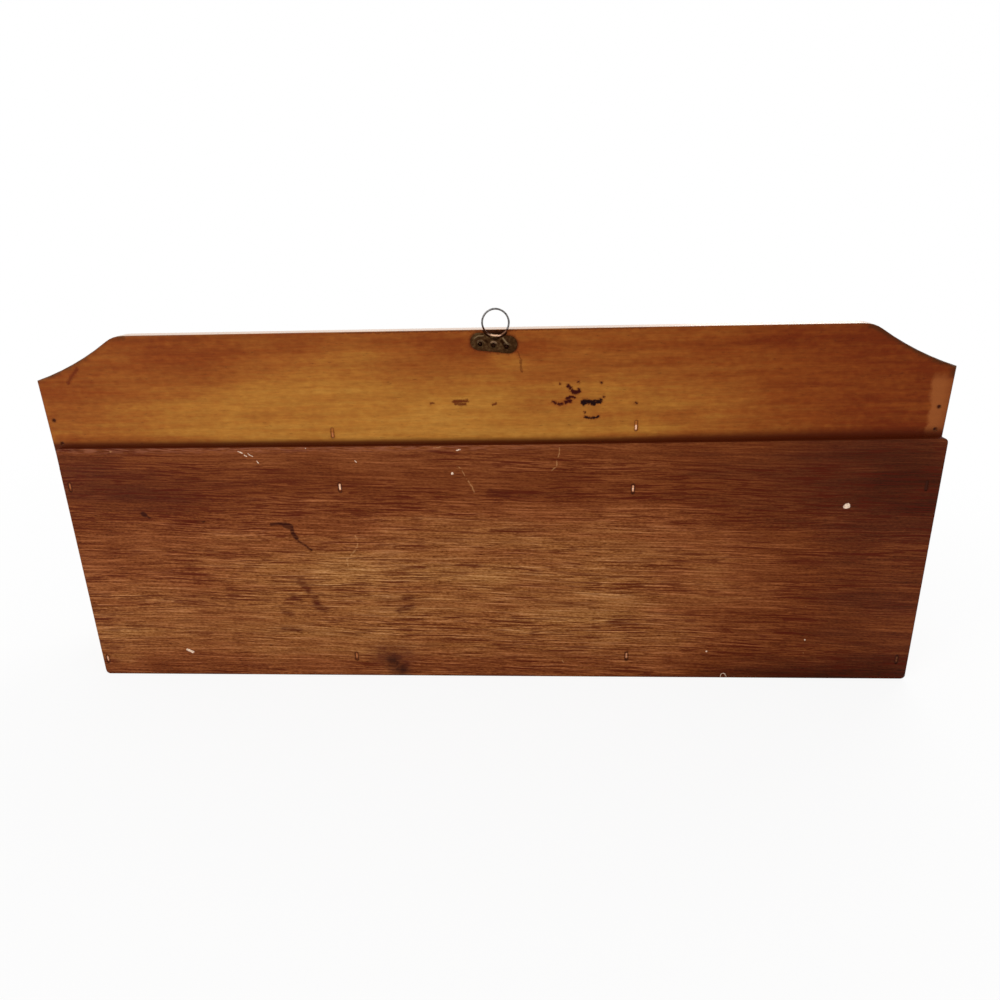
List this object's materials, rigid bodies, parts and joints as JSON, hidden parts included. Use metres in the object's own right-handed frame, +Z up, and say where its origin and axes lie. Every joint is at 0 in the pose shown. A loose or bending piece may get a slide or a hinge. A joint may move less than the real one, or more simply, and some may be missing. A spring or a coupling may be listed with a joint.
{
  "type": "wall mail organizer",
  "caption": "Long wooden wall rack with open letter pockets side by side, a shaped back rail, a stapled plywood back and a folded-plate ring hanger.",
  "frame": {"origin": "middle of the underside, halfway between the wall plane and the front face", "axes": "+X to the right for someone facing the front, +Y towards the wall, +Z up"},
  "size_m": [0.3934, 0.06, 0.1748],
  "materials": {
    "rail_wood": "amber varnished solid softwood, darker and redder towards one end",
    "plywood": "dark red-brown stained open-pored plywood",
    "case_wood": "amber varnished solid softwood",
    "aged_brass": "tarnished, bright on the worn fold",
    "ring_wire": "dull plated wire",
    "copper_wire": "coppered staple wire",
    "dark_steel": "oxidised"
  },
  "bodies": {
    "rack": {"back_rail": "rail_wood", "back_panel": "plywood", "left_side": "case_wood", "right_side": "case_wood", "left_divider": "case_wood", "right_divider": "case_wood", "bottom_board": "case_wood", "front_panel": "case_wood", "hanger_plate": "aged_brass", "hanger_pins": "dark_steel", "rail_nails": "dark_steel", "front_brads": "dark_steel", "side_brads": "dark_steel", "bottom_brads": "dark_steel", "rail_staples": "copper_wire", "panel_staples": "copper_wire"},
    "ring": {"hanger_ring": "ring_wire"}
  },
  "joints": [
    {"name": "ring_swing", "type": "hinge", "parent": "rack", "child": "ring", "pos_m": [-0.00564, 0.02749, 0.16338], "axis": [-0.9934, 0, -0.1149], "range_deg": [-8, 165]}
  ]
}
